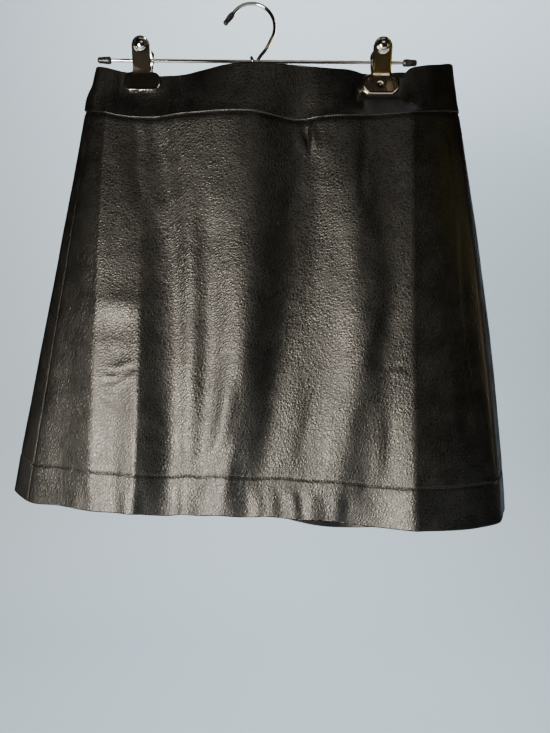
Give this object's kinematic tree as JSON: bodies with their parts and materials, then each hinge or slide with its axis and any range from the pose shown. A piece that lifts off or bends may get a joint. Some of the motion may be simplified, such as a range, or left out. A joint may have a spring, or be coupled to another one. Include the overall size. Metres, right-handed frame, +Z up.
{
  "type": "leather mini skirt on clip hanger",
  "caption": "Black leather A-line mini skirt with a contoured waistband and stitched hem, clipped by its waist to a chromed wire hanger with an open hook.",
  "frame": {"origin": "the crook of the hanger's hook, at the top of its wire, where a rail or peg holds it", "axes": "+X is the viewer's right when facing the skirt's front, +Y runs from the front to the back, +Z is up"},
  "size_m": [0.503, 0.067, 0.4987],
  "materials": {
    "black_leather": "smooth coated nappa with a fine grain and a soft sheen",
    "zip_tape_cloth": "woven polyester tape",
    "zip_metal": "black-plated zinc",
    "chrome": "polished chrome plate",
    "black_vinyl": "dipped glossy vinyl"
  },
  "bodies": {
    "skirt": {"front_panel": "black_leather", "back_panel_left": "black_leather", "back_panel_right": "black_leather", "waistband_front": "black_leather", "waistband_back_left": "black_leather", "waistband_back_right": "black_leather", "zip_tape": "zip_tape_cloth", "zip_slider": "zip_metal", "hanger_bar": "chrome", "hanger_hook": "chrome", "clip_left_front": "chrome", "clip_left_back": "chrome", "clip_left_spring": "chrome", "clip_left_rivet_front": "chrome", "clip_left_rivet_back": "chrome", "clip_right_front": "chrome", "clip_right_back": "chrome", "clip_right_spring": "chrome", "clip_right_rivet_front": "chrome", "clip_right_rivet_back": "chrome", "bar_tip_left": "black_vinyl", "bar_tip_right": "black_vinyl", "hook_tip": "black_vinyl"},
    "zip_pull": {"zip_pull": "zip_metal"}
  },
  "joints": [
    {"name": "zip_pull_hinge", "type": "hinge", "parent": "skirt", "child": "zip_pull", "pos_m": [0.02101, 0.02077, -0.07621], "axis": [1, 0, 0], "range_deg": [0, 150]}
  ]
}
